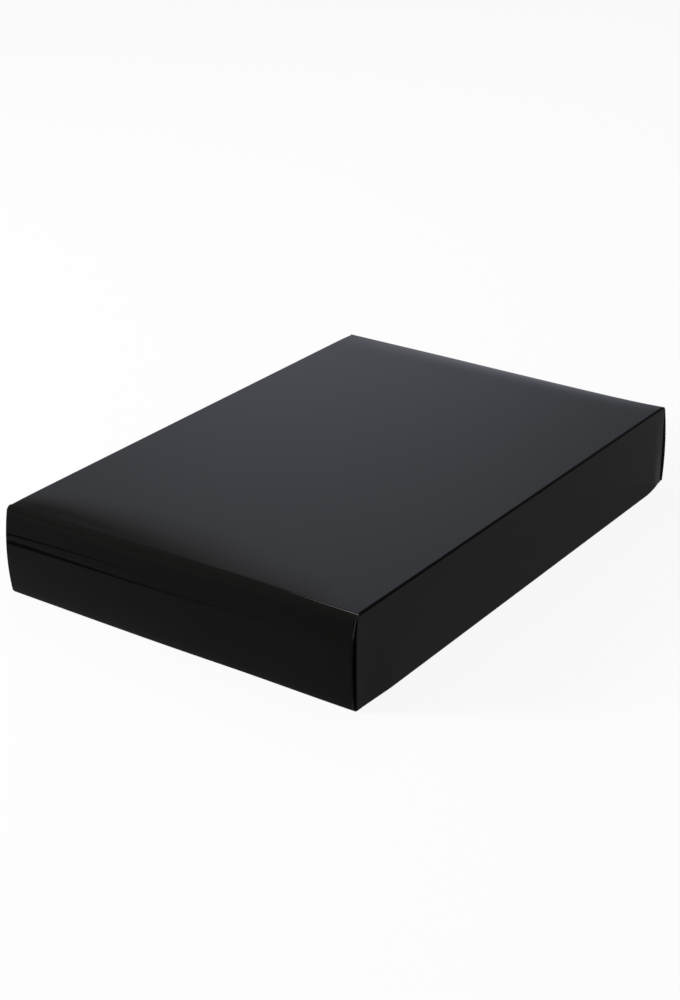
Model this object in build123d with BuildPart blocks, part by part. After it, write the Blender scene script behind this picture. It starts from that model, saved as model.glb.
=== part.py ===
from build123d import *

import math
import os

# A gift box for 24 chocolates, folded from black board: a lid as deep as its base,
# a card grid that parts the chocolates and a quilted pad that lies over them.
# Lengths are in millimetres and angles in degrees. X runs along the box, Y across it
# and Z up, from the middle of the underside.

# Closed box
lid_length = 225.0  # of the top panel, from end fold to end fold
lid_width = 154.0  # over the two long walls
box_height = 35.0  # from the table to the top panel
rim_lift = 0.5  # the lid's rim hangs this far above the table
lid_bow_angle = 17.5  # how far an end wall of the lid leaves its fold short of square

# Board and folds
board = 0.5  # thickness of the folding board
layer_gap = 0.2  # air between two folded layers
end_fold_radius = 2.2  # outer radius of the soft fold between a panel and its end walls
crease_radius = 0.8  # outer radius of every sharp crease
edge_setback = 0.2  # an end wall stops this far inside the faces of the long walls
tab_length = 32.0  # of the corner tabs, held between the layers of the end walls
tab_taper = 3.0  # each long edge of a tab slopes in by this much
flap_length = 14.0  # of the end walls' last fold, which lies on the panel
relief_length = 22.0  # the rim of a long wall slopes over this length beside a corner
relief_height = 1.0  # and ends this much lower

# Fit of the lid over the base
side_play = 0.5  # air around the base
top_play = 0.3  # air between the base's rim and the lid's end flaps
base_bow_angle = 3.0

# Card grid
cells_along = 6
cells_across = 4
card = 0.5  # thickness of a strip
strip_play = 0.4  # air between a strip's end and the wall that it faces
slot_play = 0.1  # air on each side of a strip in its slot
strip_corner = 3.0  # radius of a strip's upper corners

# Quilted pad
head_room = 1.7  # air between the pad and the lid's end flaps
pad_rest = 0.3  # air between the grid and the soft pad
pad_thickness = 4.6
pad_play = 1.6  # air between the pad and the walls of the base
pad_corner = 5.0  # radius in plan
pad_edge = 1.8  # radius of the drawn in sides
pad_crown = 0.4  # the top swells this much in the middle
quilt_pitch = 25.0  # between two channels
channel_radius = 2.4
channel_depth = 0.9


# Bend radii of the middle of the board, and the level of the flaps on the panel
end_bend = end_fold_radius - board / 2
crease_bend = crease_radius - board / 2
rim_bend = board + layer_gap
flap_level = board + layer_gap + board / 2


def wall_chord(height, bow_angle):
    """Straight distance between the two folds of a bowed end wall."""
    return height - board - (end_bend + rim_bend) * (1 - math.sin(math.radians(bow_angle)))


def bow_depth(height, bow_angle):
    """How far an end wall bows out beyond its own folds."""
    return wall_chord(height, bow_angle) / 2 * math.tan(math.radians(bow_angle) / 2)


def inside_half_length(length, bow_angle):
    """From the middle of a tray to the inner layer of its end wall."""
    return length / 2 - board - rim_bend * (1 + math.cos(math.radians(bow_angle)))


def long_wall(length, width, height):
    """The wall at minus Y with its two corner tabs, above the crease that joins it to the panel."""
    wall_half = length / 2 - board - layer_gap
    wall_middle = board / 2 - width / 2
    tab_root = crease_radius - width / 2
    tab_end = tab_length - width / 2
    with BuildPart() as wall:
        # Seen from above: the wall and the tabs that turn in behind the end walls
        with BuildSketch():
            with BuildLine():
                straight = Line((0, wall_middle), (wall_half - crease_radius, wall_middle))
                corner = JernArc(straight @ 1, straight % 1, crease_bend, 90)
                Line(corner @ 1, corner @ 1 + corner % 1 * (tab_length - crease_radius))
                mirror(about=Plane.YZ)
            trace(line_width=board)
        extrude(amount=height)
        # Seen from the front: the rim sinks towards the corners, and the lower corners
        # clear the round of the end folds
        with BuildSketch(Plane.XZ) as front_outline:
            with BuildLine():
                Polyline(
                    (-wall_half, board + layer_gap),
                    (wall_half, board + layer_gap),
                    (wall_half, height - relief_height),
                    (wall_half - relief_length, height),
                    (relief_length - wall_half, height),
                    (-wall_half, height - relief_height),
                    close=True,
                )
            make_face()
            lower_corners = front_outline.vertices().group_by(Axis.Y)[0]
            fillet(lower_corners, end_fold_radius - board - layer_gap)
        extrude(amount=width, both=True, mode=Mode.INTERSECT)
        # Seen from the end: the tabs taper towards their free edges
        with BuildSketch(Plane.YZ):
            with BuildLine():
                Polyline(
                    (-width / 2, 0),
                    (tab_root, 0),
                    (tab_end, tab_taper),
                    (tab_end, height - tab_taper),
                    (tab_root, height),
                    (-width / 2, height),
                    close=True,
                )
            make_face()
        extrude(amount=length / 2, both=True, mode=Mode.INTERSECT)
    return wall.part


def folded_tray(length, width, height, bow_angle):
    """One sheet folded into a tray whose panel lies on the XY plane, with its rim up."""
    lean = math.radians(bow_angle)
    fold_start = length / 2 - board / 2 - end_bend * math.cos(lean)
    wall_radius = wall_chord(height, bow_angle) / 2 / math.sin(lean)
    wall = long_wall(length, width, height)

    with BuildPart() as tray:
        # Panel, with the creases that turn it up into the long walls
        with BuildSketch(Plane.YZ):
            with BuildLine():
                across = Line((0, board / 2), (width / 2 - crease_radius, board / 2))
                JernArc(across @ 1, across % 1, crease_bend, 90)
                mirror(about=Plane.YZ)
            trace(line_width=board)
        extrude(amount=fold_start, both=True)
        add(wall)
        mirror(wall, about=Plane.XZ)

        # Outer layer of the end walls, bowed between its two folds
        with BuildSketch(Plane.XZ):
            with BuildLine():
                fold = JernArc((fold_start, board / 2), (1, 0), end_bend, 90 - bow_angle)
                bowed = JernArc(fold @ 1, fold % 1, wall_radius, 2 * bow_angle)
                mirror(about=Plane.YZ)
            trace(line_width=board)
        extrude(amount=width / 2 - edge_setback, both=True)

        # Rolled rim, inner layer and the flap that lies on the panel
        with BuildSketch(Plane.XZ):
            with BuildLine():
                roll = JernArc(bowed @ 1, bowed % 1, rim_bend, 180 - bow_angle)
                inner = Line(roll @ 1, ((roll @ 1).X, flap_level + crease_bend))
                turn = JernArc(inner @ 1, inner % 1, crease_bend, -90)
                Line(turn @ 1, turn @ 1 + turn % 1 * flap_length)
                mirror(about=Plane.YZ)
            trace(line_width=board)
        extrude(amount=width / 2 - board - layer_gap, both=True)
    return tray.part


# Lid: a deep tray turned over
lid_height = box_height - rim_lift
with BuildPart() as lid:
    with Locations((0, 0, box_height)):
        add(folded_tray(lid_length, lid_width, lid_height, lid_bow_angle), rotation=(180, 0, 0))
lid.part.label = "lid"

# Base: the same fold, small enough to slide inside the lid
lid_flap_face = box_height - 2 * board - layer_gap
base_height = lid_flap_face - top_play
base_bow = bow_depth(base_height, base_bow_angle)
base_length = 2 * (inside_half_length(lid_length, lid_bow_angle) - side_play - base_bow)
base_width = lid_width - 2 * (board + side_play)
with BuildPart() as base_tray:
    add(folded_tray(base_length, base_width, base_height, base_bow_angle))
base_tray.part.label = "base_tray"

# Card grid: strips with half lap slots, standing on the base's end flaps
inside_length = 2 * inside_half_length(base_length, base_bow_angle)
inside_width = base_width - 2 * board
long_strip_length = inside_length - 2 * strip_play
short_strip_length = inside_width - 2 * strip_play
pitch_along = inside_length / cells_along
pitch_across = inside_width / cells_across
strip_foot = 2 * board + layer_gap
strip_height = lid_flap_face - head_room - pad_thickness - pad_rest - strip_foot
slot_width = card + 2 * slot_play
slot_depth = strip_height / 2 + slot_play


def strip_outline(length, slot_count, slot_pitch, slots_up):
    """Face of one strip, drawn with its foot on the X axis of the sketch."""
    with BuildSketch() as face:
        with Locations((0, strip_height / 2)):
            Rectangle(length, strip_height)
        fillet(face.vertices().group_by(Axis.Y)[-1], strip_corner)
        slot_middle = strip_height - slot_depth / 2 if slots_up else slot_depth / 2
        with Locations((0, slot_middle)):
            with GridLocations(slot_pitch, 0, slot_count, 1):
                Rectangle(slot_width, slot_depth, mode=Mode.SUBTRACT)
    return face.sketch


long_strip_face = strip_outline(long_strip_length, cells_along - 1, pitch_along, True)
short_strip_face = strip_outline(short_strip_length, cells_across - 1, pitch_across, False)

long_dividers = []
for row in range(1, cells_across):
    place = Plane.XZ.offset(inside_width / 2 - row * pitch_across)
    with BuildPart() as long_divider:
        with BuildSketch(place.shift_origin(place.origin + Vector(0, 0, strip_foot))):
            add(long_strip_face)
        extrude(amount=card / 2, both=True)
    long_divider.part.label = f"long_divider_{row}"
    long_dividers.append(long_divider.part)

short_dividers = []
for column in range(1, cells_along):
    place = Plane.YZ.offset(column * pitch_along - inside_length / 2)
    with BuildPart() as short_divider:
        with BuildSketch(place.shift_origin(place.origin + Vector(0, 0, strip_foot))):
            add(short_strip_face)
        extrude(amount=card / 2, both=True)
    short_divider.part.label = f"short_divider_{column}"
    short_dividers.append(short_divider.part)

# Quilted pad: soft paper layers pressed together along crossing channels
pad_length = inside_length - 2 * pad_play
pad_width = inside_width - 2 * pad_play
pad_foot = strip_foot + strip_height + pad_rest
pad_top = pad_foot + pad_thickness
crown_radius = (pad_width**2 / 4 + pad_crown**2) / (2 * pad_crown)
quilt_reach = (pad_length + pad_width) / 2
channel_count = math.ceil(math.sqrt(2) * quilt_reach / quilt_pitch)
channel_axis = pad_top - channel_depth + channel_radius
with BuildPart() as cushion_pad:
    with BuildSketch(Plane.XY.offset(pad_foot)):
        RectangleRounded(pad_length, pad_width, pad_corner)
    extrude(amount=pad_thickness)
    # A very shallow barrel vault along X gives the top its crown
    with BuildSketch(Plane.YZ):
        with Locations((0, pad_top - crown_radius)):
            Circle(crown_radius)
    extrude(amount=pad_length, both=True, mode=Mode.INTERSECT)
    fillet(cushion_pad.faces().sort_by(Axis.Z)[-1].edges(), pad_edge)
    fillet(cushion_pad.faces().sort_by(Axis.Z)[0].edges(), pad_edge)
    for slant in (1, -1):
        diagonal = Plane(origin=(0, 0, channel_axis), x_dir=(-slant, 1, 0), z_dir=(1, slant, 0))
        with BuildSketch(diagonal):
            with GridLocations(quilt_pitch, 0, channel_count, 1):
                Circle(channel_radius)
        extrude(amount=quilt_reach, both=True, mode=Mode.SUBTRACT)
cushion_pad.part.label = "cushion_pad"

os.makedirs("parts", exist_ok=True)
for piece in [lid.part, base_tray.part, cushion_pad.part, *long_dividers, *short_dividers]:
    export_step(piece, f"parts/{piece.label}.step")

print("bow of the lid's end walls", round(bow_depth(lid_height, lid_bow_angle), 2))
print("base", round(base_length, 1), "x", round(base_width, 1), "x", round(base_height, 1))
print("cell pitch", round(pitch_along, 2), "x", round(pitch_across, 2))
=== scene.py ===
# %% [markdown]
# # A black chocolate box
# The real object is four kinds of thing: a lid as deep as the box, a base that stands inside it, a grid
# of card strips that parts the chocolates, and a quilted paper pad over them. The lid and the base are
# each one sheet of glossy board, scored, folded and tucked, with no glue. This lesson folds those sheets,
# quilts the pad, paints everything, and lights it like the studio picture.

# %% Load the imported model
import math

import bmesh
import bpy
from mathutils import Matrix, Vector


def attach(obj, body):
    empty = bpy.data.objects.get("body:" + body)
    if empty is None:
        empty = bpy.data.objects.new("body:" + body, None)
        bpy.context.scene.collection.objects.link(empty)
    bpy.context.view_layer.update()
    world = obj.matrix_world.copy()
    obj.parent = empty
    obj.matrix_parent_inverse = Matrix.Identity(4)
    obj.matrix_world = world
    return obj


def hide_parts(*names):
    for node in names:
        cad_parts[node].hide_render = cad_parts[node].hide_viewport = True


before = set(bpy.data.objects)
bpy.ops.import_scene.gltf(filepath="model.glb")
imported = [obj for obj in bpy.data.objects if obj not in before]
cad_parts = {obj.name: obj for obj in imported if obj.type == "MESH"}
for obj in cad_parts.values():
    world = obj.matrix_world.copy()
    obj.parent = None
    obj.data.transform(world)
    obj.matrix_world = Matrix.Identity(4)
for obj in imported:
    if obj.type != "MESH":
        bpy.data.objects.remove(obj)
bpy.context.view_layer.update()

MM = 0.001  # Blender works in metres here, and the box was drawn in millimetres
print("nodes:", ", ".join(sorted(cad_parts)))

# %% [markdown]
# ## Camera
# The picture was taken from above one corner with a long lens. The place below comes from the seven
# corners of the box that can be seen. A camera looks along its own minus Z, so it is tipped up by a right
# angle less the downward pitch, and turned from plus Y, which is why a right angle is taken off the yaw.

# %% Camera
CAMERA_PLACE = Vector((-0.5922, -0.3990, 0.3379))
CAMERA_YAW = 34.436  # degrees from plus X
CAMERA_PITCH = 24.331  # degrees below the horizon
SENSOR = 36.0  # mm, laid along the 1000 pixels of the picture's height
LENS = 72.42  # mm

camera_data = bpy.data.cameras.new("camera")
camera_data.sensor_fit = "VERTICAL"
camera_data.sensor_height = SENSOR
camera_data.lens = LENS
camera_data.clip_start = 0.01
camera = bpy.data.objects.new("camera", camera_data)
camera.location = CAMERA_PLACE
camera.rotation_euler = (math.radians(90 - CAMERA_PITCH), 0, math.radians(CAMERA_YAW - 90))
bpy.context.scene.collection.objects.link(camera)
bpy.context.scene.camera = camera
bpy.context.scene.view_settings.view_transform = "Standard"
print("camera", round(camera.location.length, 3), "m from the middle of the underside")

# %% [markdown]
# ## Shader sums written as Python
# A finish is a tree of nodes. Two small classes keep it readable: a Socket stands for one output, and
# arithmetic on it adds Math nodes, so `grain * 0.5` is a real node in the tree. A Finish holds the tree.
# Its main method adds any other node from its type, its settings and what goes into its sockets, and the
# short ones add the nodes that come up most.

# %% Sockets and finishes


class Socket:
    """One output of a shader tree. Arithmetic on it adds Math nodes."""

    def __init__(self, finish, output):
        self.finish = finish
        self.output = output

    def __add__(self, other):
        return self.finish.math("ADD", self, other)

    def __mul__(self, other):
        return self.finish.math("MULTIPLY", self, other)

    def __gt__(self, other):
        return self.finish.math("GREATER_THAN", self, other)

    def __lt__(self, other):
        return self.finish.math("LESS_THAN", self, other)

    def sibling(self, name):
        """Another output of the same node."""
        return Socket(self.finish, self.output.node.outputs[name])


class Finish:
    """The node tree of one material, or of the world."""

    def __init__(self, owner):
        owner.use_nodes = True
        self.tree = owner.node_tree
        self.tree.nodes.clear()

    def node(self, kind, settings=None, *values, take=None, **named):
        """Add a node. Settings come first, then sockets in their order or by name."""
        made = self.tree.nodes.new("ShaderNode" + kind)
        for key, value in (settings or {}).items():
            if key == "stops":
                self.set_stops(made.color_ramp, value)
            else:
                setattr(made, key, value)
        open_inputs = [socket for socket in made.inputs if socket.enabled]
        by_name = {socket.name.replace(" ", "_"): socket for socket in reversed(open_inputs)}
        pairs = list(zip(open_inputs, values)) + [(by_name[key], value) for key, value in named.items()]
        for socket, value in pairs:
            if isinstance(value, Socket):
                self.tree.links.new(value.output, socket)
            else:
                socket.default_value = value
        open_outputs = [socket for socket in made.outputs if socket.enabled]
        chosen = [socket for socket in open_outputs if take in (None, socket.name)]
        return Socket(self, chosen[0]) if chosen else made

    def math(self, operation, *values):
        return self.node("Math", {"operation": operation}, *values)

    def mix(self, share, first, second, blend_type="MIX"):
        """Mix two colours."""
        settings = {"data_type": "RGBA", "blend_type": blend_type}
        return self.node("Mix", settings, share, first, second)

    def ramp(self, value, *stops):
        """Read a grey off a ramp, given as (place, grey) pairs."""
        return self.node("ValToRGB", {"stops": stops}, value)

    def along(self, vector, way):
        """How far a vector reaches along a way."""
        return self.node("VectorMath", {"operation": "DOT_PRODUCT"}, vector, way, take="Value")

    @staticmethod
    def set_stops(ramp, stops):
        while len(ramp.elements) < len(stops):
            ramp.elements.new(0.5)
        for element, (position, grey) in zip(ramp.elements, stops):
            element.position = position
            element.color = (grey, grey, grey, 1)


def new_material(name):
    material = bpy.data.materials.new(name)
    return material, Finish(material)


print("sockets can be added, multiplied and compared")

# %% [markdown]
# ## The room
# Glossy black board has hardly any colour of its own: what is seen on it is the room. The room here is
# white. Behind the box, as the camera sees it, its wall is bright and cool up to a slanting edge, like that
# of a backdrop, and dim and warm above it. So the lid is brightest where it is seen at a low angle, and it
# goes dark where it tips down to its left fold. Two more ramps, one over the height and one from side to
# side, make the slow changes along the lid. Only reflections see this wall. To the camera the table and
# the sky are white, and a tenth of what it sees of the table is real light, so the box keeps a soft shadow.

# %% World
FILL_LEVEL = 0.42  # what the room adds to plain matt surfaces
LEFTWARDS = (-0.6018, 0.7986, 0.0)  # in the picture
AWAY = (0.78, 0.62, 0.0)  # from the camera
SLANT = 0.45  # how steeply the backdrop's edge falls to the left
WARM_WHITE = (1.12, 1.09, 0.97, 1)
COOL_WHITE = (1.03, 1.065, 1.21, 1)
WHITE = (1, 1, 1, 1)
DIM_STOPS = ((0.0, 1.0), (0.447, 1.0), (0.50, 0.30), (0.54, 0.28), (0.60, 0.42), (1.0, 0.5))
HEIGHT_STOPS = (
    (0.0, 0.91), (0.25, 0.865), (0.33, 0.84), (0.375, 0.877),
    (0.405, 0.909), (0.435, 0.95), (0.47, 0.99), (0.5, 1.0),
)
SIDE_STOPS = (
    (0.0, 0.80), (0.24, 0.50), (0.32, 0.69), (0.34, 0.755), (0.36, 0.815), (0.38, 0.87),
    (0.40, 0.909), (0.42, 0.94), (0.44, 0.96), (0.46, 0.978), (0.49, 0.983), (0.52, 0.962),
    (0.54, 0.935), (0.56, 0.887), (0.58, 0.84), (0.60, 0.79), (0.64, 0.72), (0.90, 0.80),
)

world = bpy.data.worlds.new("white room")
bpy.context.scene.world = world
room = Finish(world)
camera_ray = room.node("LightPath", take="Is Camera Ray")
glossy_ray = camera_ray.sibling("Is Glossy Ray")
clear_ray = camera_ray.sibling("Is Transmission Ray")
direction = room.node("TexCoord", take="Generated")
height = room.node("SeparateXYZ", None, direction, take="Z")
leftwards = room.along(direction, LEFTWARDS)

backdrop = room.ramp(height + leftwards * SLANT, *DIM_STOPS)
behind_box = room.ramp(room.along(direction, AWAY), (0.30, 0.0), (0.75, 1.0))
backdrop_level = room.mix(behind_box, WHITE, backdrop)
height_level = room.ramp(height, *HEIGHT_STOPS)
side_level = room.ramp(leftwards + 0.5, *SIDE_STOPS)
wall_colour = room.mix(backdrop * behind_box, WARM_WHITE, COOL_WHITE)
for level in (backdrop_level, height_level, side_level):
    wall_colour = room.mix(1.0, wall_colour, level, "MULTIPLY")
seen_colour = room.mix(glossy_ray, WHITE, wall_colour)
seen = room.math("MAXIMUM", camera_ray + clear_ray, glossy_ray)
colour = room.mix(seen, (FILL_LEVEL, FILL_LEVEL, FILL_LEVEL, 1), seen_colour)
room.node("OutputWorld", None, room.node("Background", None, colour, 1.0))
print("fill level", FILL_LEVEL)

# %% [markdown]
# A softbox behind the left end throws the main light, and the box's soft shadow falls in front of it. A
# second, smaller one stands higher. It is there for the thin bright line on the fold beside the near
# corner.

# %% Softboxes


def add_softbox(name, towards, distance, size, power):
    """A square area light that looks at the middle of the box from a direction."""
    data = bpy.data.lights.new(name, "AREA")
    data.shape = "SQUARE"
    data.size = size
    data.energy = power
    light = bpy.data.objects.new(name, data)
    way = Vector(towards).normalized()
    light.location = way * distance
    light.rotation_euler = way.to_track_quat("Z", "Y").to_euler()
    bpy.context.scene.collection.objects.link(light)
    return light


key_light = add_softbox("key softbox", towards=(-0.60, 0.70, 0.40), distance=1.3, size=0.30, power=16.0)
key_light.visible_glossy = False
line_light = add_softbox("line softbox", towards=(0.50, 0.405, 0.765), distance=1.0, size=0.18, power=1.0)
print("softboxes:", key_light.name, "and", line_light.name)

# %% [markdown]
# The long wall mirrors the table, and so does the lower half of the left end wall. The light on the table
# that they show is painted light: an emission ramp from the right to the left, which paints the box's
# shadow dim in front and to the right and the lit table brighter to the left, with a warmer tone at its
# left end.

# %% Table
TABLE_RADIUS = 1.6
WHITE_SHARE = 0.90  # of what the camera sees of the table is plain white, and the rest is real light
PAINTED_LIGHT_SHARE = 0.75  # of what a reflection sees of it is the ramp
LEFT_OF_TABLE = (-2.5, 0.0, 0.0)  # so the ramp is 0.4 m long
GREEN_TINT = (0.99, 1.05, 1.01, 1)
YELLOW_TINT = (1.03, 1.01, 0.86, 1)
TURN_START, TURN_END = 0.905, 0.935  # where the tone turns warmer
PAINTED_LIGHT_STOPS = (
    (0.22, 0.32), (0.50, 0.40), (0.775, 0.55), (0.79, 0.42), (0.86, 0.50),
    (TURN_START, 0.51), (TURN_END, 0.43),
)

bpy.ops.object.select_all(action="DESELECT")
bpy.ops.mesh.primitive_circle_add(vertices=96, radius=TABLE_RADIUS, fill_type="NGON")
table = bpy.context.object
table.name = "table"
table_paint, table_finish = new_material("white table")
camera_ray = table_finish.node("LightPath", take="Is Camera Ray")
glossy_ray = camera_ray.sibling("Is Glossy Ray")
clear_ray = camera_ray.sibling("Is Transmission Ray")
grain = table_finish.node("TexNoise", None, Scale=900.0, Detail=2.0)
paper = table_finish.ramp(grain, (0.0, 0.93), (1.0, 0.97))
matt = table_finish.node("BsdfDiffuse", None, paper)
white_glow = table_finish.node("Emission", None, WHITE, 1.0)
spot = table_finish.node("TexCoord", take="Object")
leftwards = table_finish.along(spot, LEFT_OF_TABLE) + 0.5
# Painted light: this ramp paints the box's shadow dim in front and to the right, and the lit table brighter
# to the left.
painted_light = table_finish.ramp(leftwards, *PAINTED_LIGHT_STOPS)
beyond = table_finish.ramp(leftwards, (TURN_START, 0.0), (TURN_END, 1.0))
tint = table_finish.mix(beyond, GREEN_TINT, YELLOW_TINT)
tinted_painted_light = table_finish.node("Emission", None, table_finish.mix(1.0, painted_light, tint, "MULTIPLY"), 1.0)
seen_by_gloss = table_finish.node("MixShader", None, glossy_ray * PAINTED_LIGHT_SHARE, matt, tinted_painted_light)
white_share = (camera_ray + clear_ray) * WHITE_SHARE
surface = table_finish.node("MixShader", None, white_share, seen_by_gloss, white_glow)
table_finish.node("OutputMaterial", None, surface)
table.data.materials.append(table_paint)
print("table", table.name)

# %% [markdown]
# The left end wall of the picture also mirrors two thin dark lines, the edges of something flat that lies
# outside the picture. Two narrow black strips on the table stand for them. Only reflections show them.
# A circle of three points is a triangle, so each strip comes to a tip, as the lines in the picture do.

# %% Strips that are only mirrored
STRIP_LEVEL = 0.2  # mm above the table
STRIPS = (
    # name, middle of the wide end, tip and width, in mm
    ("near strip", (-153, 115), (-179, 0), 9.0),
    ("far strip", (-168, 128), (-230, 60), 8.0),
)

strip_paint, strip_finish = new_material("black strip")
strip_finish.node("OutputMaterial", None, strip_finish.node("Emission", None, (0.0, 0.0, 0.0, 1), 0.0))
for name, start, stop, width in STRIPS:
    start, stop = Vector((*start, STRIP_LEVEL)) * MM, Vector((*stop, STRIP_LEVEL)) * MM
    way = stop - start
    bpy.ops.object.select_all(action="DESELECT")
    bpy.ops.mesh.primitive_circle_add(vertices=3, radius=1, fill_type="NGON", location=start + way / 3)
    strip = bpy.context.object
    strip.name = name
    strip.scale = (width * MM / math.sqrt(3), way.length / 1.5, 1)
    strip.rotation_euler.z = math.atan2(-way.x, way.y)
    strip.data.materials.append(strip_paint)
    strip.visible_camera = strip.visible_diffuse = strip.visible_shadow = False
    print(name, round(way.length / MM), "mm long")

# %% [markdown]
# ## Folding board in edit mode
# A folding machine scores a flat sheet and turns each flap about its score. The same is done here: the
# selected edge of a sheet either runs straight on, which is an extrude, or turns about an axis, which is a
# spin. A small helper keeps count of where the edge is and which way it heads, so a whole end wall is
# folded with a list of bends and runs. Spin turns clockwise about its axis, so it is given the angle with
# its sign changed. The sheet has no thickness until all its folds are made.

# %% A helper that folds
TOLERANCE = 0.01 * MM


def open_grid(name, columns, rows, size, place):
    """Add a grid at its real size and place, and open it in edit mode with nothing selected."""
    bpy.ops.object.select_all(action="DESELECT")
    bpy.ops.mesh.primitive_grid_add(x_subdivisions=columns, y_subdivisions=rows, size=1, location=place)
    piece = bpy.context.object
    piece.name = name
    bpy.ops.object.transform_apply(location=True, rotation=True, scale=True)
    bpy.ops.object.mode_set(mode="EDIT")
    bpy.ops.transform.resize(value=(size[0], size[1], 1))
    bpy.ops.mesh.select_mode(type="EDGE")
    bpy.ops.mesh.select_all(action="DESELECT")
    return piece


def pick_edges(piece, wanted):
    """Select the edges whose two ends both pass a test on their place."""
    shape = bmesh.from_edit_mesh(piece.data)
    for edge in shape.edges:
        edge.select_set(all(wanted(corner.co) for corner in edge.verts))
    bmesh.update_edit_mesh(piece.data)


def same(first, second):
    """Whether two places agree to a hundredth of a millimetre."""
    return abs(first - second) < TOLERANCE


class Edge:
    """The selected edge of a sheet: where it is, which way it runs on and to which side it folds."""

    def __init__(self, place, ahead, inward):
        self.place = Vector(place)
        self.ahead = Vector(ahead)
        self.axis = self.ahead.cross(Vector(inward))

    def bend(self, radius, angle, steps):
        side = Matrix.Rotation(math.copysign(math.pi / 2, angle), 3, self.axis) @ self.ahead
        centre = self.place + radius * side
        bpy.ops.mesh.spin(steps=steps, angle=-angle, center=centre, axis=self.axis)
        turn = Matrix.Rotation(angle, 3, self.axis)
        self.place = centre + turn @ (self.place - centre)
        self.ahead = turn @ self.ahead

    def run(self, length, steps=1):
        for _ in range(steps):
            step = self.ahead * (length / steps)
            bpy.ops.mesh.extrude_edges_move(TRANSFORM_OT_translate={"value": step})
            self.place += step


print("an edge can bend and run")

# %% [markdown]
# These are the measures that the lid and the base share, the same as in the drawing. Bends are measured
# at the middle of the board, because the board gets its thickness evenly on both sides of the sheet.

# %% Measures of the board and its folds
board = 0.5 * MM
layer_gap = 0.2 * MM
end_bend = 2.2 * MM - board / 2
crease_radius = 0.8 * MM
crease_bend = crease_radius - board / 2
rim_bend = board + layer_gap
edge_setback = 0.2 * MM
tab_length = 32.0 * MM
tab_taper = 3.0 * MM
flap_length = 14.0 * MM
tab_bend = 0.3 * MM  # the tabs are creased hard, because they have to lie inside the end walls
tab_radius = tab_bend + board / 2
flap_depth = board + layer_gap + board / 2
corner_clearance = 2.2 * MM
support = 0.4 * MM  # a narrow row beside a bend keeps the flat part flat when it is shaded smooth
PANEL_COLUMNS, PANEL_ROWS = 160, 48  # enough points for the panel to bend gently later


def folded_tray(name, length, width, height, bow_angle, level, inward, settle=None):
    """Fold one sheet into a tray whose panel's outer face is at a level. inward is 1 up or -1 down."""
    lean = math.radians(bow_angle)
    middle = level + inward * board / 2
    fold_start = length / 2 - board / 2 - end_bend * math.cos(lean)
    half_width = width / 2 - crease_radius
    chord = height - board - (end_bend + rim_bend) * (1 - math.sin(lean))
    wall_radius = chord / 2 / math.sin(lean)
    wall_half = length / 2 - board - layer_gap
    wall_y = width / 2 - board / 2
    rim = level + inward * height
    into = Vector((0, 0, inward))

    # The panel, with a narrow row all round
    flat_size = (2 * (fold_start - support), 2 * (half_width - support))
    sheet = open_grid(name, PANEL_COLUMNS, PANEL_ROWS, flat_size, (0, 0, middle))
    for axis, half in ((1, half_width - support), (0, fold_start - support)):
        for side in (-1, 1):
            pick_edges(sheet, lambda co: same(co[axis] * side, half))
            edge = Edge((0, 0, 0), (0, side, 0) if axis else (side, 0, 0), into)
            edge.run(support)

    # Long walls: a sharp crease, then the wall down to its rim
    for side in (-1, 1):
        pick_edges(sheet, lambda co: same(co.y * side, half_width) and same(co.z, middle))
        edge = Edge((0, side * half_width, middle), (0, side, 0), into)
        edge.bend(crease_bend, math.pi / 2, steps=6)
        edge.run(support)
        edge.run(corner_clearance - crease_radius - support)
        edge.run(height - corner_clearance - support, steps=7)
        edge.run(support)

    # End walls: soft fold, bowed outer layer, rolled rim, inner layer and the flap on the panel
    for end in (-1, 1):
        pick_edges(sheet, lambda co: same(co.x * end, fold_start) and same(co.z, middle))
        edge = Edge((end * fold_start, 0, middle), (end, 0, 0), into)
        edge.bend(end_bend, math.pi / 2 - lean, steps=8)
        edge.bend(wall_radius, 2 * lean, steps=14)
        rim_place = edge.place.copy()
        for side in (-1, 1):
            pick_edges(
                sheet,
                lambda co: same(co.y * side, half_width) and co.x * end > fold_start - TOLERANCE,
            )
            Edge((0, 0, 0), (0, side, 0), into).run(width / 2 - edge_setback - half_width)
        pick_edges(
            sheet,
            lambda co: same(co.x, rim_place.x)
            and same(co.z, rim_place.z)
            and abs(co.y) < half_width + TOLERANCE,
        )
        edge.bend(rim_bend, math.pi - lean, steps=10)
        stop = flap_depth + crease_bend
        edge.run((edge.place.z - level) * inward - stop, steps=6)
        edge.bend(crease_bend, -math.pi / 2, steps=5)
        edge.run(flap_length, steps=4)

    # The end walls settle before the tabs are there, because only they move
    if settle:
        bpy.ops.object.mode_set(mode="OBJECT")
        settle(sheet)
        bpy.ops.object.mode_set(mode="EDIT")

    # Corner tabs turn in behind the end walls
    for end in (-1, 1):
        for side in (-1, 1):
            pick_edges(sheet, lambda co: same(co.x * end, fold_start) and same(co.y * side, wall_y))
            edge = Edge((end * fold_start, side * wall_y, 0), (end, 0, 0), (0, -side, 0))
            turn_x = wall_half - tab_radius
            edge.run(turn_x - fold_start)
            pick_edges(
                sheet,
                lambda co: same(co.x * end, turn_x)
                and same(co.y * side, wall_y)
                and (co.z - level) * inward > corner_clearance - TOLERANCE,
            )
            edge.bend(tab_bend, math.pi / 2, steps=5)
            edge.run(tab_length - tab_radius)
            tab_height = height - corner_clearance
            bpy.ops.transform.resize(value=(1, 1, 1 - 2 * tab_taper / tab_height))

    bpy.ops.object.mode_set(mode="OBJECT")
    return sheet


print("board", board / MM, "mm thick, end folds turn on", round(end_bend / MM, 2), "mm")

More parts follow.
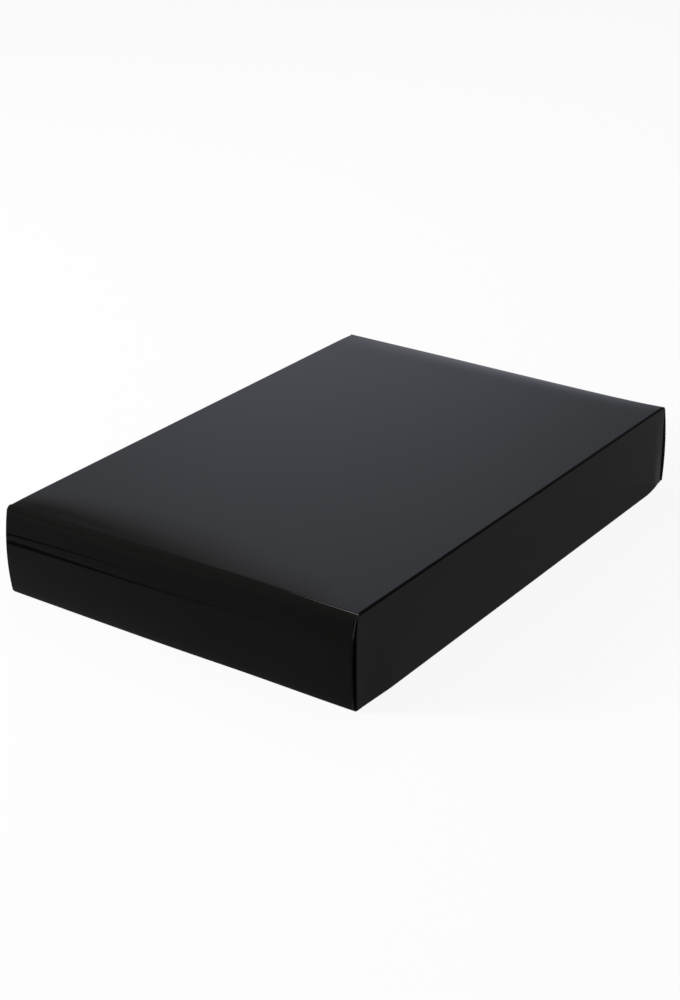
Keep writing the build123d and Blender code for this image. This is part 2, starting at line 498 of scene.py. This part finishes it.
# %% [markdown]
# ## Letting the board settle
# A folded box is never as true as its drawing. In the picture the left end bows out most in the middle of
# its width, the right end stands open at its rim, the panel swells a little and rolls down into its end
# folds, and the whole lid is twisted by a quarter of a millimetre each way. Each of these is a smooth
# function of the place on the box, so the points are moved in code, as proportional editing would by eye.

# %% Curves and their slopes


def eased(share):
    """0 below 0, 1 above 1 and a soft rise between."""
    share = min(1, max(0, share))
    return share * share * (3 - 2 * share)


def drawn(curve, at):
    """Read a smooth curve, given as a few (place, value) pairs."""
    at = min(curve[-1][0], max(curve[0][0], at))
    index = max(number for number in range(len(curve) - 1) if curve[number][0] <= at)
    before, after = curve[max(0, index - 1)], curve[min(len(curve) - 1, index + 2)]
    start, stop = curve[index], curve[index + 1]
    gap = stop[0] - start[0]
    share = (at - start[0]) / gap
    slope_in = (stop[1] - before[1]) / (stop[0] - before[0]) * gap
    slope_out = (after[1] - start[1]) / (after[0] - start[0]) * gap
    rise = stop[1] - start[1]
    bent = (slope_in + slope_out - 2 * rise) * share + 3 * rise - 2 * slope_in - slope_out
    return start[1] + share * (slope_in + share * bent)


# How steeply the panel runs down to its left fold, in degrees, for places across the box in mm. The slope
# is full beside the fold and dies away with the length in the second curve.
LEFT_SLOPE = (
    (-77, 0.55), (-72, 0.70), (-60, 1.0), (-45, 1.19), (-15, 1.49),
    (0, 1.64), (45, 1.80), (65, 1.75), (77, 1.2),
)
LEFT_FADE = (
    (-77, 6.0), (-72, 8.0), (-60, 13.6), (-45, 16.3), (-15, 20.8),
    (0, 19.4), (15, 16.6), (45, 11.3), (65, 7.5), (77, 5.0),
)
# A strip along the left fold was pressed flatter by hand, by the slope below. It is widest at 55 mm.
PRESSED_WIDTH = ((-77, 0.0), (-8, 0.0), (0, 0.5), (15, 2.9), (30, 4.4), (55, 6.0), (65, 5.5), (77, 4.4))
PRESSED_SLOPE = 0.25
PRESSED_EASE = 1.0  # mm from the strip's edge to where the slope starts to die away
# At the right fold the slope grows over the last stretch, to so many degrees times the curve's value.
RIGHT_SLOPE = (
    (-77, 0.12), (-70, 0.47), (-60, 0.77), (-45, 0.97), (-25, 1.05),
    (0, 1.0), (30, 0.76), (55, 0.53), (77, 0.25),
)
RIGHT_STEEPEST = 14.0
RIGHT_REACH = 18.0  # mm
RIGHT_POWER = 2.8


def sink(co, half_length):
    """How far the panel lies below its drawn level, in mm, at a place."""
    x, y = co.x / MM, co.y / MM
    from_left = max(0, x + half_length / MM)
    from_right = max(0, half_length / MM - x)

    slope, fade = math.radians(drawn(LEFT_SLOPE, y)), drawn(LEFT_FADE, y)
    pressed = drawn(PRESSED_WIDTH, y)
    full = pressed + PRESSED_EASE
    if from_left > full:
        left = slope * fade * math.exp((full - from_left) / fade)
    else:
        left = slope * (fade + full - from_left)
    left -= math.radians(PRESSED_SLOPE) * max(0, pressed - from_left)

    share = max(0, 1 - from_right / RIGHT_REACH)
    steepest = math.radians(RIGHT_STEEPEST) * drawn(RIGHT_SLOPE, y)
    return left + steepest * RIGHT_REACH / RIGHT_POWER * share**RIGHT_POWER


print("the panel starts to sink", RIGHT_REACH, "mm before its right fold")

# %% The lid's measures, and how each part of it settles
lid = {
    "length": 225.0 * MM,
    "width": 154.0 * MM,
    "height": 34.5 * MM,
    "bow_angle": 17.5,
    "level": 35.0 * MM,
    "inward": -1,
}
half_length, half_width = lid["length"] / 2, lid["width"] / 2
inner_face = half_length - board - rim_bend * (1 + math.cos(math.radians(lid["bow_angle"])))
tab_level = half_length - board - layer_gap - board / 2

# The lengths from here on are in mm.
FOLD_DEPTH = 2.0  # this far below the panel the walls begin to move by themselves
CLOSE = 0.3  # points this close to a layer belong to it
WALL_ZONE = 1.1  # the near long wall and its round corners lie within this of the near side
WALL_FACE = 0.75  # and its flat part within this
# Left and right end: how much further the outer layer stands out at its rim, and how much more it bows
LEFT_RIM = ((-77, 0.35), (0, 1.0), (77, 0.0))
LEFT_BOW = ((-77, -1.1), (0, -0.5), (77, -0.9))
RIGHT_RIM = ((-77, 1.8), (0, 0.8), (77, 0.5))
RIGHT_BOW = ((-77, -0.9), (0, -0.3), (77, -0.5))
TOP_RISE = 0.3  # of the whole panel
CROWN = 0.6  # what the middle of its width has more
TWIST = 0.26  # two of its corners rise by this, and the other two sink by it
RIM_LIFT = {"near": -0.46, "left": -0.46, "right": -0.46, "back": 0.1}  # at the four corners
SKEW = 1.0  # of the near corner, to the left
FLARE = 0.73  # of the near long wall's rim
FLARE_START, FLARE_END = 22.0, 8.0  # the flare comes and goes over these, from its left and right end
TAB_SHIFT = 0.65  # of the near left tab and the end of the wall beside it, out to the fold
TAB_SHIFT_START, TAB_SHIFT_RAMP = 13.0, 12.0  # from the left end of the wall
WALL_CUT, END_CUT = 1.3, 0.35  # the rim of the near wall and of the right end wall, beside the right corner
CUT_START, CUT_RAMP = 98.0, 13.0  # from the middle of the wall
CUT_DOWN = 0.7  # only below this share of the height
print("inner face at", round(inner_face / MM, 2), "mm, tabs at", round(tab_level / MM, 2), "mm")

# %% Settle the lid


def how_far_down(depth):
    """0 at the fold and 1 at the rim."""
    return min(1, max(0, (depth - FOLD_DEPTH * MM) / (lid["height"] - FOLD_DEPTH * MM)))


def bow_ends(sheet):
    """Open and bow the outer layer of the end walls, while the corner tabs aren't there yet."""
    for point in sheet.data.vertices:
        co = point.co
        depth = lid["level"] - co.z
        down = how_far_down(depth)
        outermost = min(1, max(0, (abs(co.x) - inner_face) / (2 * rim_bend)))
        if depth > (FOLD_DEPTH + 1) * MM and outermost > 0:
            rim, bow = (LEFT_RIM, LEFT_BOW) if co.x < 0 else (RIGHT_RIM, RIGHT_BOW)
            end, y = math.copysign(1, co.x), co.y / MM
            co.x += end * outermost * drawn(rim, y) * MM * down
            if abs(co.x) > inner_face + board:
                co.x += end * drawn(bow, y) * MM * 4 * down * (1 - down)


def settle_corners(co, depth, down):
    """The near wall's left end stands out to the fold, and its right end is cut back at the rim."""
    in_tab = abs(abs(co.x) - tab_level) < CLOSE * MM and down < 0.95
    if in_tab or co.y < WALL_FACE * MM - half_width:
        beside = eased((TAB_SHIFT_START - (co.x + half_length) / MM) / TAB_SHIFT_RAMP)
        below = eased((depth / MM - FOLD_DEPTH) / 5)
        co.x -= TAB_SHIFT * MM * beside * below * (1 - 0.4 * down**2)
    cut = END_CUT if co.x > half_length - CLOSE * MM else WALL_CUT
    beside = eased((co.x / MM - CUT_START) / CUT_RAMP)
    co.z += cut * MM * beside * max(0, (down - CUT_DOWN) / (1 - CUT_DOWN))


def settle_lid(sheet):
    """Sink the panel to its folds, twist the lid, and let the rim follow the table."""
    for point in sheet.data.vertices:
        co = point.co
        along, over = co.x / half_length, co.y / half_width
        depth = lid["level"] - co.z
        down = how_far_down(depth)
        swell = TOP_RISE + CROWN * max(0, 1 - over**2) + TWIST * along * over
        left_shift = (RIM_LIFT["near"] * (1 - over) + RIM_LIFT["left"] * (1 + over)) / 2
        right_shift = (RIM_LIFT["right"] * (1 - over) + RIM_LIFT["back"] * (1 + over)) / 2
        rim_shift = (left_shift * (1 - along) + right_shift * (1 + along)) / 2
        co.z += ((swell - sink(co, half_length)) * (1 - down) + rim_shift * down) * MM
        # The skew is whole at the near wall and gone before the middle of the width
        co.x -= SKEW * MM * max(0, -along) * eased(-1.4 * over - 0.4)
        # The near long wall flares at its rim, but not at its two ends
        if co.y < WALL_ZONE * MM - half_width and abs(co.x) < half_length - CLOSE * MM:
            start = eased((co.x + half_length) / (FLARE_START * MM))
            end = eased((half_length - co.x) / (FLARE_END * MM))
            co.y -= FLARE * MM * down * start * end
        if co.y < tab_length - half_width:
            settle_corners(co, depth, down)


print("the ends bow before the tabs are folded, and the rest settles after")

# %% Fold the lid
tray_keys = ("length", "width", "height", "bow_angle", "level", "inward")
lid_sheet = folded_tray("box_lid", *[lid[key] for key in tray_keys], settle=bow_ends)
settle_lid(lid_sheet)
print("left end bows", round(-min(point.co.x for point in lid_sheet.data.vertices) / MM, 2), "mm out")

# %% [markdown]
# ## Board
# The board is black all through. Its outer side has a thin gloss film, which shows almost only what it
# mirrors: a low index of refraction gives the faint, even shine of the picture. Up close the film has
# orange peel, long waves from the laminating roller, hazy fingermarks, a little dust and rubbed folds.
# The sharp creases get a painted dark line: a matt black mix that mirrors little, standing in for the
# dark reflection along them. The inner side is bare matt board, and the cut edges are dark fibre, paler
# where they are folded.

# %% Gloss film on black board


def gloss_board(name, shine):
    """The printed and laminated side of the board."""
    material, paint = new_material(name)
    place = paint.node("TexCoord", take="Object")
    haze = paint.node("TexNoise", None, Vector=place, Scale=22.0, Detail=3.0, take="Fac")
    smear = paint.node("TexNoise", None, Vector=place, Scale=260.0, Detail=2.0, take="Fac")
    touched = paint.ramp(haze, (0.52, 0.0), (0.72, 1.0))
    fold = paint.node("Attribute", {"attribute_name": "fold"}, take="Fac")
    rubbed = fold * paint.ramp(smear, (0.45, 0.0), (0.75, 1.0))
    cells = paint.node("TexVoronoi", None, Vector=place, Scale=95.0, Randomness=1.0, take="Distance")
    chance = paint.node("SeparateColor", None, cells.sibling("Color"), take="Red")
    dust = (cells < 0.013) * (chance > 0.86)
    tone = paint.mix(rubbed * 0.015, shine["colour"], (0.03, 0.03, 0.03, 1))
    colour = paint.mix(dust, tone, (0.30, 0.29, 0.28, 1))
    rough = touched * smear * 0.05 + rubbed * 0.004 + dust * 0.6 + shine["roughness"]
    waves = paint.node("TexNoise", None, Vector=place, Scale=34.0, Detail=0.0, take="Fac")
    peel = paint.node("TexNoise", None, Vector=place, Scale=720.0, Detail=1.0, take="Fac")
    wavy = paint.node("Bump", None, Strength=1.0, Distance=shine["waves"], Height=waves)
    relief = paint.node("Bump", None, Strength=1.0, Distance=shine["peel"], Height=peel, Normal=wavy)
    film = paint.node(
        "BsdfPrincipled",
        None,
        Base_Color=colour,
        Roughness=rough,
        IOR=shine["index"],
        Normal=relief,
    )
    # Painted dark reflection: the sharp creases are mixed with matt black, so they mirror little and stay
    # black.
    crease = paint.node("Attribute", {"attribute_name": "crease"}, take="Fac")
    painted_dark_crease = paint.node("BsdfDiffuse", None, shine["colour"])
    painted_dark_share = paint.ramp(crease, (0.45, 0.0), (1.0, 0.75))
    surface = paint.node("MixShader", None, painted_dark_share, film, painted_dark_crease)
    paint.node("OutputMaterial", None, surface)
    return material


lid_film = gloss_board(
    "gloss board",
    {
        "colour": (0.0022, 0.0022, 0.0023, 1),
        "index": 1.17,
        "roughness": 0.05,
        "waves": 0.00002,
        "peel": 0.0000012,
    },
)
print("finish:", lid_film.name)

# %% Bare board and its cut edges


def bare_board(name, dark, pale, roughness, shine, folded=None):
    """Uncoated fibre: the inner side of the board, or its cut edge, which is paler where it is folded."""
    material, paint = new_material(name)
    place = paint.node("TexCoord", take="Object")
    stretched = paint.node("Mapping", None, Vector=place, Scale=(500.0, 1400.0, 1400.0))
    fibre = paint.node("TexNoise", None, Vector=stretched, Scale=1.0, Detail=4.0, take="Fac")
    cloud = paint.node("TexNoise", None, Vector=place, Scale=60.0, Detail=3.0, take="Fac")
    mixed = fibre * 0.7 + cloud * 0.3
    colour = paint.mix(mixed, dark, pale)
    if folded:
        fold = paint.node("Attribute", {"attribute_name": "fold"}, take="Fac")
        colour = paint.mix(fold, colour, folded)
    relief = paint.node("Bump", None, Strength=0.5, Distance=0.00003, Height=fibre)
    matt = paint.node(
        "BsdfPrincipled",
        None,
        Base_Color=colour,
        Roughness=cloud * 0.15 + roughness,
        Specular_IOR_Level=shine,
        Normal=relief,
    )
    paint.node("OutputMaterial", None, matt)
    return material


inner_side = bare_board(
    "bare board",
    dark=(0.006, 0.006, 0.006, 1),
    pale=(0.022, 0.021, 0.020, 1),
    roughness=0.62,
    shine=0.25,
)
cut_edge = bare_board(
    "cut edge of board",
    dark=(0.0015, 0.0015, 0.0015, 1),
    pale=(0.006, 0.006, 0.006, 1),
    roughness=0.7,
    shine=0.08,
    folded=(0.035, 0.035, 0.035, 1),
)
print("finishes:", inner_side.name, "and", cut_edge.name)

# %% [markdown]
# ## Thickness
# Solidify gives the sheet its half millimetre, equally to both sides, with one finish for the outer skin,
# one for the inner and one for the cut edges. Before that the bends are marked on the points, because a
# rubbed fold is a thing of the shape and not of the place. Faces have to look outwards first, and that
# is settled while the sheet is still open.

# %% Give a sheet its thickness
BEND_LIMITS = {"fold": 7, "crease": 12}  # degrees between two faces
SMOOTH_LIMIT = 35


def mark_folds(sheet):
    """Store how the sheet bends: fold is 1 on every bend, and crease is 1 inside the sharp ones."""
    shape = bmesh.new()
    shape.from_mesh(sheet.data)
    shape.verts.ensure_lookup_table()
    sharpest = [max(edge.calc_face_angle(0) for edge in corner.link_edges) for corner in shape.verts]
    shape.free()
    for name, degrees in BEND_LIMITS.items():
        store = sheet.data.attributes.new(name, "FLOAT", "POINT")
        store.data.foreach_set("value", [float(angle > math.radians(degrees)) for angle in sharpest])


def thicken(sheet, outer_z, finishes):
    """Turn the faces outwards, then give the sheet its thickness and its finishes."""
    bpy.ops.object.select_all(action="DESELECT")
    sheet.select_set(True)
    bpy.context.view_layer.objects.active = sheet
    mark_folds(sheet)
    bpy.ops.object.mode_set(mode="EDIT")
    bpy.ops.mesh.select_all(action="SELECT")
    bpy.ops.mesh.normals_make_consistent(inside=False)
    bpy.ops.object.mode_set(mode="OBJECT")
    panel = min(sheet.data.polygons, key=lambda face: face.center.xy.length)
    if panel.normal.z * outer_z < 0:
        sheet.data.flip_normals()
    for finish in finishes:
        sheet.data.materials.append(finish)
    solidify = sheet.modifiers.new("board", "SOLIDIFY")
    solidify.thickness = board
    solidify.offset = 0
    solidify.use_even_offset = True
    solidify.material_offset = 1
    solidify.material_offset_rim = 2
    bpy.ops.object.modifier_apply(modifier=solidify.name)
    bpy.ops.object.shade_smooth_by_angle(angle=math.radians(SMOOTH_LIMIT))


thicken(lid_sheet, 1, (lid_film, inner_side, cut_edge))
print("lid:", len(lid_sheet.data.polygons), "faces")

# %% [markdown]
# ## The base
# The base is the same fold, right way up and a little smaller. It is never seen while the lid is on, but
# the lid lifts off. Its walls stand half a millimetre lower than in the drawing and share the lid's twist,
# so that they stay clear of the lid's flaps.

# %% Fold the base
base = {
    "length": 219.49 * MM,
    "width": 152.0 * MM,
    "height": 33.5 * MM,
    "bow_angle": 3.0,
    "level": 0.0,
    "inward": 1,
}
BASE_DROP = 0.55 * MM  # of the walls' rims, and as much again or as much less at the corners
base_sheet = folded_tray("box_base", *[base[key] for key in tray_keys])
for point in base_sheet.data.vertices:
    corner = point.co.x / (base["length"] / 2) * point.co.y / (base["width"] / 2)
    point.co.z += (corner - 1) * BASE_DROP * max(0, point.co.z / base["height"])
thicken(base_sheet, -1, (lid_film, inner_side, cut_edge))
print("base:", len(base_sheet.data.polygons), "faces")

# %% [markdown]
# ## Card grid
# The strips of the grid are flat card, and their drawn solids already have the right shape: half lap
# slots and rounded upper corners. They only need a finish. Die-cut card is dyed black through, so its
# faces are matt with short fibres, and its cut edges are a shade paler and rougher. An edge is told from
# a face by the normal: on every strip the cut edges look up, down or along the strip.

# %% Matt card


def card_finish(name, thin_axis):
    """Dyed card whose faces look along thin_axis, and whose other sides are cut."""
    material, paint = new_material(name)
    texture = paint.node("TexCoord", take="Object")
    facing = paint.node("SeparateXYZ", None, texture.sibling("Normal"), take=thin_axis)
    cut = paint.math("ABSOLUTE", facing) < 0.5
    short = paint.node("Mapping", None, Vector=texture, Scale=(900.0, 900.0, 420.0))
    fibre = paint.node("TexNoise", None, Vector=short, Scale=1.0, Detail=3.0, take="Fac")
    cloud = paint.node("TexNoise", None, Vector=texture, Scale=45.0, Detail=3.0, take="Fac")
    mottle = fibre * 0.6 + cloud * 0.4
    face_tone = paint.mix(mottle, (0.010, 0.010, 0.010, 1), (0.032, 0.031, 0.030, 1))
    cut_tone = paint.mix(fibre, (0.025, 0.024, 0.022, 1), (0.085, 0.080, 0.074, 1))
    colour = paint.mix(cut, face_tone, cut_tone)
    relief = paint.node("Bump", None, Strength=0.6, Distance=0.00002, Height=fibre)
    matt = paint.node(
        "BsdfPrincipled",
        None,
        Base_Color=colour,
        Roughness=cloud * 0.12 + cut * 0.12 + 0.66,
        Specular_IOR_Level=0.3,
        Normal=relief,
    )
    paint.node("OutputMaterial", None, matt)
    return material


for group, thin_axis in (("long", "Y"), ("short", "X")):
    finish = card_finish(f"matt card, {group} strips", thin_axis)
    strips = [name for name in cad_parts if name.startswith(group + "_divider")]
    for name in strips:
        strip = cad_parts[name]
        strip.data.materials.clear()
        strip.data.materials.append(finish)
    print(group, "strips:", len(strips))

# %% [markdown]
# ## Quilted pad
# The pad is a few layers of glassine paper, pressed together along crossing diagonal channels, and soft
# between them. A paper pad gets its shape from what is trapped inside it, so it is blown up: a flat slab
# whose mesh runs along the diagonals, the channels held by a pin group, and the Cloth modifier with
# pressure and no gravity. Starting from a grid that is turned by 45 degrees puts a row of points exactly
# on every channel.

# %% Cut the slab
pad_size = Vector((212.468, 147.8)) * MM
pad_corner = 5.0 * MM
quilt_pitch = 25.0 * MM
SQUARES = 11  # along a side of the grid, which covers the pad with some over
ROWS_EACH = 10  # rows of faces from one channel to the next
pad_top = 31.25 * MM  # level of the channels; the squares swell above it
pad_under = 28.05 * MM

bpy.ops.object.select_all(action="DESELECT")
bpy.ops.mesh.primitive_grid_add(
    x_subdivisions=SQUARES * ROWS_EACH,
    y_subdivisions=SQUARES * ROWS_EACH,
    size=SQUARES * quilt_pitch,
    location=(0, 0, pad_under),
    rotation=(0, 0, math.radians(45)),
)
pad = bpy.context.object
pad.name = "quilted_pad"
bpy.ops.object.transform_apply(location=True, rotation=True, scale=True)
print("grid points", len(pad.data.vertices))

# %% [markdown]
# Each run may number the points of a cut mesh in another order, and cloth is touchy enough to swell a
# little differently for it. So the slab is put in order of place before its close points are merged and
# again before it is blown up, and then every run gives the same pad.

# %% Cut it to its outline
CORNER_CUTS = (18, 45, 72)  # degrees, the flats that round a corner
LAYERS = 3
DIGITS = 7  # places are rounded to a ten-thousandth of a millimetre


def cut_away(place, normal):
    """Bisect the mesh that is being edited and drop what lies beyond the plane."""
    bpy.ops.mesh.select_all(action="SELECT")
    bpy.ops.mesh.bisect(plane_co=place, plane_no=normal, clear_outer=True)


def put_in_order(piece):
    """Number the points and faces of a piece by their places."""
    mesh = piece.data
    places = [tuple(round(value, DIGITS) for value in point.co) for point in mesh.vertices]
    order = sorted(range(len(places)), key=lambda number: places[number])
    number_of = {old: new for new, old in enumerate(order)}
    faces = []
    for face in mesh.polygons:
        corners = [number_of[old] for old in face.vertices]
        first = corners.index(min(corners))
        faces.append(corners[first:] + corners[:first])
    mesh.clear_geometry()
    mesh.from_pydata([places[old] for old in order], [], sorted(faces))


bpy.ops.object.mode_set(mode="EDIT")
half = pad_size / 2
for side in (-1, 1):
    cut_away((side * half.x, 0, 0), (side, 0, 0))
    cut_away((0, side * half.y, 0), (0, side, 0))
    for end in (-1, 1):
        for angle in CORNER_CUTS:
            turn = math.radians(angle)
            way = Vector((end * math.cos(turn), side * math.sin(turn), 0))
            centre = Vector((end * (half.x - pad_corner), side * (half.y - pad_corner), 0))
            cut_away(centre + way * pad_corner, way)
bpy.ops.object.mode_set(mode="OBJECT")
put_in_order(pad)
bpy.ops.object.mode_set(mode="EDIT")
bpy.ops.mesh.select_all(action="SELECT")
bpy.ops.mesh.remove_doubles(threshold=0.5 * MM)
for _ in range(LAYERS):
    bpy.ops.mesh.extrude_region_move()
    bpy.ops.transform.translate(value=(0, 0, (pad_top - pad_under) / LAYERS))
bpy.ops.mesh.select_all(action="SELECT")
bpy.ops.mesh.normals_make_consistent(inside=False)
bpy.ops.object.mode_set(mode="OBJECT")
put_in_order(pad)
print("slab points", len(pad.data.vertices))

# %% Blow it up
flat_places = [point.co.copy() for point in pad.data.vertices]


def channel_distance(co):
    """Distance to the nearest channel, on either diagonal."""
    diagonals = (co.x + co.y) / math.sqrt(2), (co.x - co.y) / math.sqrt(2)
    return min(abs(place - quilt_pitch * round(place / quilt_pitch)) for place in diagonals)


held = pad.vertex_groups.new(name="held")
for point in pad.data.vertices:
    at_rim = abs(point.co.z - pad_top) < 0.1 * MM or abs(point.co.z - pad_under) < 0.1 * MM
    if at_rim and channel_distance(point.co) < 0.3 * MM:
        held.add([point.index], 1.0, "REPLACE")
cloth = pad.modifiers.new("air", "CLOTH")
cloth.settings.quality = 6
cloth.settings.mass = 0.15
cloth.settings.tension_stiffness = 25
cloth.settings.compression_stiffness = 25
cloth.settings.shear_stiffness = 15
cloth.settings.bending_stiffness = 0.4
cloth.settings.shrink_min = -0.02
cloth.settings.use_pressure = True
cloth.settings.uniform_pressure_force = 4
cloth.settings.vertex_group_mass = held.name
cloth.settings.effector_weights.gravity = 0
for number in range(1, 21):
    bpy.context.scene.frame_set(number)
bpy.ops.object.select_all(action="DESELECT")
pad.select_set(True)
bpy.context.view_layer.objects.active = pad
bpy.ops.object.modifier_apply(modifier=cloth.name)
bpy.context.scene.frame_set(1)
moved = [point.co - place for point, place in zip(pad.data.vertices, flat_places)]
print("largest move", round(max(step.length for step in moved) / MM, 2), "mm")

# %% Keep it within bounds and round it off
MOST_UP = 1.0 * MM
MOST_DOWN = 0.5 * MM
MOST_SIDEWAYS = 0.8 * MM
for point, place in zip(pad.data.vertices, flat_places):
    step = point.co - place
    most = MOST_UP if step.z > 0 else MOST_DOWN
    up = most * math.tanh(step.z / most)
    sideways = step.xy
    if sideways.length > MOST_SIDEWAYS:
        sideways = sideways.normalized() * MOST_SIDEWAYS
    point.co = place + Vector((sideways.x, sideways.y, up))
    point.co.x = min(half.x, max(-half.x, point.co.x))
    point.co.y = min(half.y, max(-half.y, point.co.y))
rounding = pad.modifiers.new("rounding", "SUBSURF")
rounding.levels = rounding.render_levels = 1
bpy.ops.object.select_all(action="DESELECT")
pad.select_set(True)
bpy.context.view_layer.objects.active = pad
bpy.ops.object.modifier_apply(modifier=rounding.name)
bpy.ops.object.shade_smooth()
levels = [point.co.z / MM for point in pad.data.vertices]
print("pad from", round(min(levels), 2), "to", round(max(levels), 2), "mm")

# %% [markdown]
# Glassine is paper that has been rolled until it shines like satin. The real pad creases where it is
# pressed; here the whole sheet is a little crumpled, and it has the pin-head embossing that keeps the
# chocolates from sticking.

# %% Glassine
glassine, paint = new_material("black glassine")
place = paint.node("TexCoord", take="Object")
turned = paint.node("Mapping", None, Vector=place, Rotation=(0, 0, math.radians(45)))
dots = paint.node("TexVoronoi", None, Vector=turned, Scale=640.0, Randomness=0.05, take="Distance")
crumple = paint.node("TexNoise", None, Vector=place, Scale=210.0, Detail=4.0, Distortion=0.8, take="Fac")
cloud = paint.node("TexNoise", None, Vector=place, Scale=30.0, Detail=2.0, take="Fac")
colour = paint.mix(cloud * 0.6 + crumple * 0.4, (0.014, 0.013, 0.012, 1), (0.042, 0.039, 0.036, 1))
embossed = paint.node("Bump", None, Strength=0.5, Distance=0.00008, Height=dots)
relief = paint.node("Bump", None, Strength=0.6, Distance=0.00022, Height=crumple, Normal=embossed)
satin = paint.node(
    "BsdfPrincipled",
    None,
    Base_Color=colour,
    Roughness=crumple * 0.18 + 0.30,
    Normal=relief,
)
paint.node("OutputMaterial", None, satin)
pad.data.materials.append(glassine)
print("finish:", glassine.name)

# %% Bodies
for piece, body, slot, node in (
    (lid_sheet, "lid", "gloss_board", "lid"),
    (base_sheet, "base", "gloss_board", "base_tray"),
    (pad, "pad", "pad_paper", "cushion_pad"),
):
    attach(piece, body)
    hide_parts(node)
    print(piece.name, "rides on", body)
